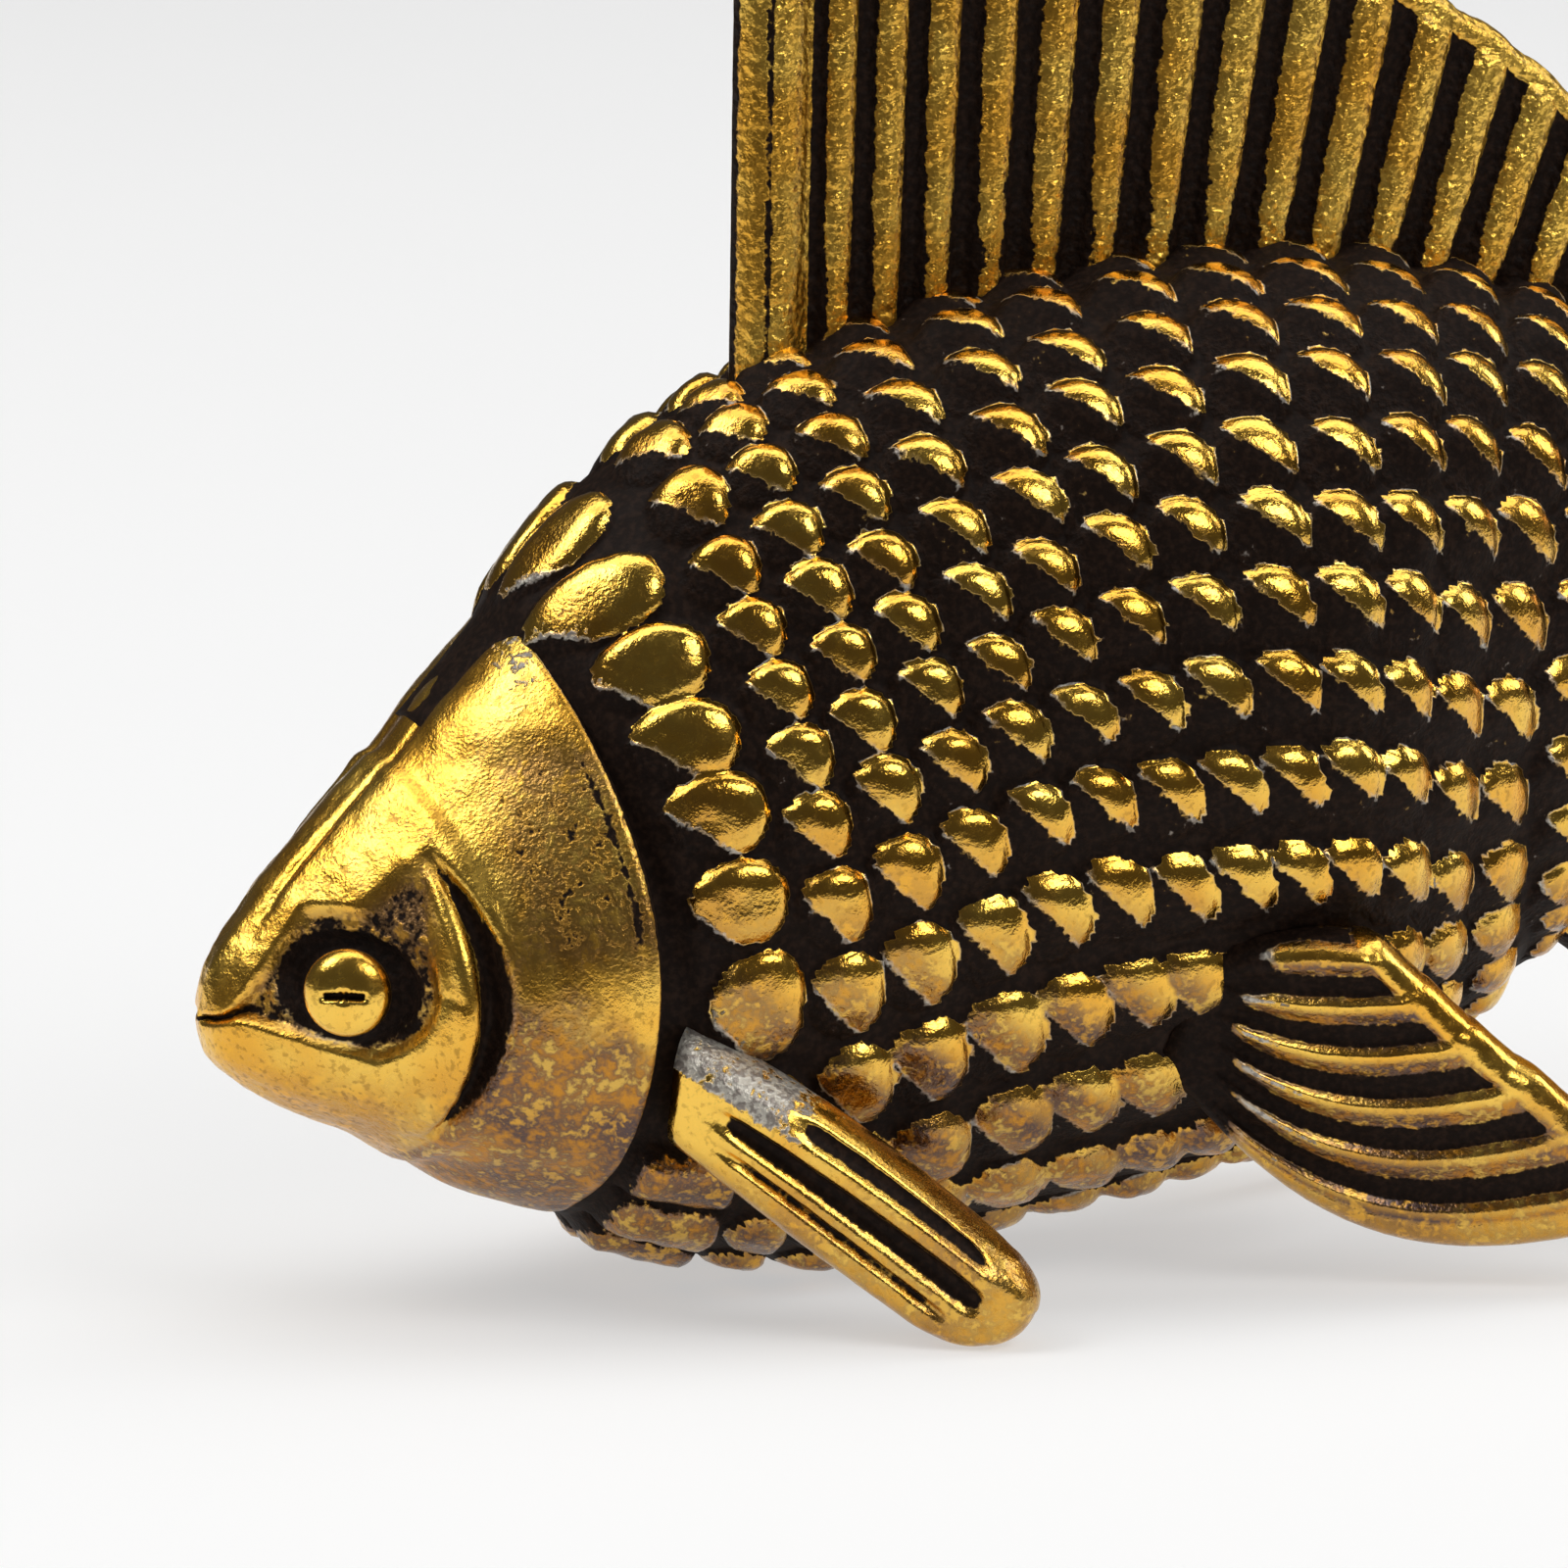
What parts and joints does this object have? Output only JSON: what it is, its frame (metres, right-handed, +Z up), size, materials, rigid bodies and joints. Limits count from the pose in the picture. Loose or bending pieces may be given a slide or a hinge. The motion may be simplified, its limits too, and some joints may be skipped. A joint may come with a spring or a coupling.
{
  "type": "fish figurine",
  "caption": "Small cast brass goldfish ornament with raised scales, a domed-eye head and ridged fins, standing on its front fins and tail.",
  "frame": {"origin": "on the surface that the fish stands on, under the middle of its bounding box", "axes": "+X from the head to the tail, -Y out of the left flank, +Z up"},
  "size_m": [0.0514, 0.0184, 0.035],
  "materials": {
    "antique_brass": "antiqued, bright on the high points, dark patina in the recesses"
  },
  "bodies": {
    "root": {"trunk": "antique_brass", "head": "antique_brass", "eye_left": "antique_brass", "eye_right": "antique_brass", "dorsal_fin": "antique_brass", "tail_fin": "antique_brass", "anal_fin": "antique_brass", "pectoral_fin_left": "antique_brass", "pectoral_fin_right": "antique_brass", "pelvic_fin_left": "antique_brass", "pelvic_fin_right": "antique_brass"}
  },
  "joints": []
}
